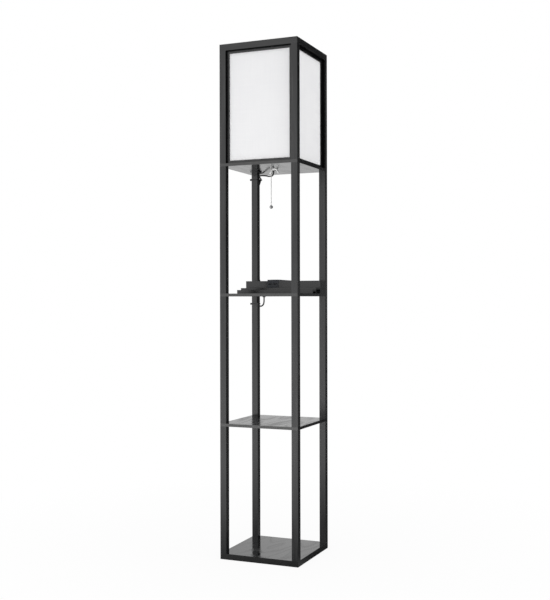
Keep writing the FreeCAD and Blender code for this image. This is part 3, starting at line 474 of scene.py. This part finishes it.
def lathe(work, profile, x, y, segments):
    """Turns a profile of (radius, height) about an upright line. A radius of 0 closes it with a point."""
    rings = []
    for radius, height in profile:
        if radius == 0.0:
            rings.append([work.verts.new((x, y, height))])
            continue
        rings.append([work.verts.new((x + radius * math.cos(2 * math.pi * step / segments),
                                      y + radius * math.sin(2 * math.pi * step / segments), height))
                      for step in range(segments)])
    for low, high in zip(rings, rings[1:]):
        for step in range(segments):
            after = (step + 1) % segments
            if len(low) == 1:
                work.faces.new((low[0], high[after], high[step]))
            elif len(high) == 1:
                work.faces.new((low[step], low[after], high[0]))
            else:
                work.faces.new((low[step], low[after], high[after], high[step]))


def arc(centre, radius, degrees):
    """The part of a ball's profile at these angles from its foot."""
    return [(radius * math.sin(math.radians(turn)), centre - radius * math.cos(math.radians(turn)))
            for turn in degrees]


def round_profile(centre, radius, step):
    """A whole ball's profile, from foot to top, in steps of some degrees."""
    return ([(0.0, centre - radius)] + arc(centre, radius, range(step, 181 - step, step)) +
            [(0.0, centre + radius)])


# The chain: round beads on a thin wire, and the ball that ends it, under the link that they swing from.
PULL_X, PULL_Y = -0.008, -0.0088
PIVOT = 1.204
BEADS = 22
BEAD_PITCH = 0.00425
BEAD_RADIUS = 0.0016
BEAD_STEP = 15
BEAD_SIDES = 14
WIRE_RADIUS = 0.0005
WIRE_SIDES = 8
BALL_RADIUS = 0.0055
BALL_STEP = 8
BALL_SIDES = 32

chain = bmesh.new()
for number in range(1, BEADS + 1):
    bead = round_profile(PIVOT - number * BEAD_PITCH, BEAD_RADIUS, BEAD_STEP)
    lathe(chain, bead, PULL_X, PULL_Y, BEAD_SIDES)
wire_foot, wire_top = (corner.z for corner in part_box("pull_chain"))
wire = [(0.0, wire_foot), (WIRE_RADIUS, wire_foot), (WIRE_RADIUS, wire_top), (0.0, wire_top)]
lathe(chain, wire, PULL_X, PULL_Y, WIRE_SIDES)
mesh_piece("bead_chain", chain, "chain", NICKEL, "chain_metal", "pull_chain")

ball_foot, ball_top = (corner.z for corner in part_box("pull_ball"))
ball = bmesh.new()
ball_profile = round_profile((ball_foot + ball_top) / 2, BALL_RADIUS, BALL_STEP)
lathe(ball, ball_profile, PULL_X, PULL_Y, BALL_SIDES)
mesh_piece("chain_ball", ball, "chain", BALL_METAL, "chain_metal", "pull_ball")

link = bmesh.new()
lathe(link, round_profile(PIVOT, BEAD_RADIUS, BEAD_STEP), PULL_X, PULL_Y, BEAD_SIDES)
mesh_piece("link_bead", link, "chain_link", NICKEL, "chain_metal", "chain_link")

# The bulb's envelope: a round globe that runs down into a straight neck.
GLOBE_RADIUS = 0.030
GLOBE_HEIGHT = 0.086
NECK_RADIUS = 0.0134
NECK_HEIGHT = 0.008
SHOULDER = 52
GLOBE_STEP = 6
GLOBE_SIDES = 56

globe = bmesh.new()
globe_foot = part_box("bulb_globe")[0].z
globe_centre = globe_foot + GLOBE_HEIGHT - GLOBE_RADIUS
globe_profile = ([(0.0, globe_foot), (NECK_RADIUS, globe_foot), (NECK_RADIUS, globe_foot + NECK_HEIGHT)] +
                 arc(globe_centre, GLOBE_RADIUS, range(SHOULDER, 181 - GLOBE_STEP, GLOBE_STEP)) +
                 [(0.0, globe_centre + GLOBE_RADIUS)])
lathe(globe, globe_profile, 0.0, 0.0, GLOBE_SIDES)
mesh_piece("bulb_envelope", globe, "stand", OPAL, "bulb_glass", "bulb_globe")


# A panel's fabric stands out of the CAD panel's plane, and swells further past a narrow rim.
FABRIC_OUT = 0.0032
FABRIC_SWELL = 0.0018
FABRIC_RIM = 0.010
FABRIC_COLUMNS = 52
FABRIC_ROWS = 84


def fabric_panel(side):
    """Fabric stretched in its frame: a sheet with both faces, that swells a little between its bars."""
    name = "panel_fabric_" + side
    low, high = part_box(name)
    flat_axis = 1 if side in ("front", "rear") else 0
    wide_axis = 1 - flat_axis
    inward = 1.0 if side in ("front", "left") else -1.0
    wide = high[wide_axis] - low[wide_axis]
    tall = high.z - low.z
    columns, rows = FABRIC_COLUMNS, FABRIC_ROWS
    work = bmesh.new()
    layers = []
    for plane in (low[flat_axis], high[flat_axis]):
        grid = []
        for row in range(rows + 1):
            line = []
            for column in range(columns + 1):
                across = column / columns
                rise = row / rows
                rim = min(min(across, 1 - across) * wide, min(rise, 1 - rise) * tall)
                swell = math.sin(0.5 * math.pi * min(1.0, rim / FABRIC_RIM))
                place = [0.0, 0.0, low.z + rise * tall]
                place[wide_axis] = low[wide_axis] + across * wide
                place[flat_axis] = plane - inward * (FABRIC_OUT + FABRIC_SWELL * swell)
                line.append(work.verts.new(place))
            grid.append(line)
        layers.append(grid)
    for grid in layers:
        for row in range(rows):
            for column in range(columns):
                work.faces.new((grid[row][column], grid[row][column + 1], grid[row + 1][column + 1],
                                grid[row + 1][column]))
    front, back = layers
    edge = ([(row, 0) for row in range(rows)] + [(rows, column) for column in range(columns)] +
            [(row, columns) for row in range(rows, 0, -1)] +
            [(0, column) for column in range(columns, 0, -1)])
    for (row, column), (after_row, after_column) in zip(edge, edge[1:] + edge[:1]):
        work.faces.new((front[row][column], front[after_row][after_column], back[after_row][after_column],
                        back[row][column]))
    bmesh.ops.recalc_face_normals(work, faces=work.faces)
    piece = mesh_piece("fabric_" + side, work, "stand", FABRIC, "shade_fabric", name)


for side in ("front", "right", "rear", "left"):
    fabric_panel(side)


# ---------------------------------------------------------------- studio

# The side of the studio that is flagged dark, so that it doesn't shine in the right-hand faces. How bright
# reflections are goes from the opposite side, at 0, to the dark side itself, at 1.
DARK_SIDE = (0.80, 0.60, 0.0)
DARK_SKY = (0.80, 0.60, 0.45)
OPPOSITE_TO_DARK = (-1.0, 1.0)
FLOOR_GLARE = [(0.05, 0.92), (0.35, 0.70), (0.62, 0.475), (0.69, 0.47), (0.92, 0.02)]
FLOOR_SHINE = 1.6
SKY_GLARE = [(0.06, 0.87), (0.60, 0.62), (0.65, 0.63), (0.68, 0.74), (0.96, 0.0)]
SKY_SHINE = 1.2
AMBIENT = 0.74
# Close to the lamp the floor shines less in reflections, and shows some of the lamp's shadow to the camera.
SHINE_BY_LAMP = 0.16
SHINE_FADE = (0.12, 1.7)
WHITE_BY_LAMP = 0.93
SHADOW_FADE = (0.25, 1.4)
PAPER_GREY = (0.86, 0.86, 0.86, 1.0)
FLOOR_REACH = 14.0

corners = [(-FLOOR_REACH, -FLOOR_REACH, 0), (FLOOR_REACH, -FLOOR_REACH, 0), (FLOOR_REACH, FLOOR_REACH, 0),
           (-FLOOR_REACH, FLOOR_REACH, 0)]
floor_mesh = bpy.data.meshes.new("floor")
floor_mesh.from_pydata(corners, [], [(0, 1, 2, 3)])
floor = bpy.data.objects.new("floor", floor_mesh)
scene.collection.objects.link(floor)


def floor_material():
    """White paper: white to the camera with a faint shadow near the lamp, and in a reflection as bright as
    the studio is on that side, falling off close to the lamp."""
    surface = Surface("paper", roughness=0.9)
    surface.shader.inputs["Base Color"].default_value = PAPER_GREY
    light_path = surface.add("ShaderNodeLightPath").outputs
    length = surface.add("ShaderNodeVectorMath", operation="LENGTH")
    surface.join(surface.place, length.inputs[0])
    distance = length.outputs["Value"]
    away = surface.add("ShaderNodeVectorMath", operation="NORMALIZE")
    surface.join(surface.place, away.inputs[0])
    side = surface.span(surface.dot(away.outputs["Vector"], DARK_SIDE), 0.0, 1.0, *OPPOSITE_TO_DARK)
    near = surface.span(distance, SHINE_BY_LAMP, 1.0, *SHINE_FADE)
    glare = surface.math("MULTIPLY", surface.ramp(side, FLOOR_GLARE), near)
    mirrored = surface.math("MULTIPLY", glare, FLOOR_SHINE)
    white = surface.add("ShaderNodeEmission")
    surface.join(surface.mix("FLOAT", light_path["Is Glossy Ray"], 1.0, mirrored), white.inputs["Strength"])
    seen = surface.math("MAXIMUM", light_path["Is Camera Ray"], light_path["Is Glossy Ray"])
    seen = surface.math("MAXIMUM", seen, light_path["Is Transmission Ray"])
    share = surface.span(distance, WHITE_BY_LAMP, 1.0, *SHADOW_FADE)
    surface.blend(surface.math("MULTIPLY", seen, share), white.outputs["Emission"])
    return surface.material


floor.data.materials.append(floor_material())


def light_world(world):
    """An even studio: white to the camera, plain ambient light, and darker on one side in reflections."""
    world.use_nodes = True
    studio = Nodes(world.node_tree)
    background = studio.tree.nodes["Background"]
    background.inputs["Color"].default_value = (1.0, 1.0, 1.0, 1.0)
    light_path = studio.add("ShaderNodeLightPath").outputs
    direction = studio.add("ShaderNodeTexCoord").outputs["Generated"]
    side = studio.span(studio.dot(direction, DARK_SKY), 0.0, 1.0, *OPPOSITE_TO_DARK)
    mirrored = studio.math("MULTIPLY", studio.ramp(side, SKY_GLARE), SKY_SHINE)
    lit = studio.mix("FLOAT", light_path["Is Glossy Ray"], AMBIENT, mirrored)
    seen = studio.math("MAXIMUM", light_path["Is Camera Ray"], light_path["Is Transmission Ray"])
    studio.join(studio.mix("FLOAT", seen, lit, 1.0), background.inputs["Strength"])


scene.world = bpy.data.worlds.new("studio")
light_world(scene.world)


def lamp(name, place, target, width, height, power):
    """A soft rectangular lamp that reflections don't show."""
    data = bpy.data.lights.new(name, "AREA")
    data.shape = "RECTANGLE"
    data.size = width
    data.size_y = height
    data.energy = power
    made = bpy.data.objects.new(name, data)
    made.location = place
    made.rotation_euler = (Vector(target) - Vector(place)).to_track_quat("-Z", "Y").to_euler()
    made.visible_glossy = False
    made.visible_camera = False
    scene.collection.objects.link(made)


lamp("key", place=(-1.2, -3.6, 0.9), target=(0.0, 0.0, 1.1), width=2.2, height=1.5, power=20.0)
lamp("fill", place=(3.7, -0.6, 1.1), target=(0.0, 0.0, 1.2), width=1.8, height=1.5, power=48.0)
lamp("low", place=(-0.3, -1.9, 0.30), target=(0.0, 0.0, 1.25), width=1.4, height=0.5, power=12.5)
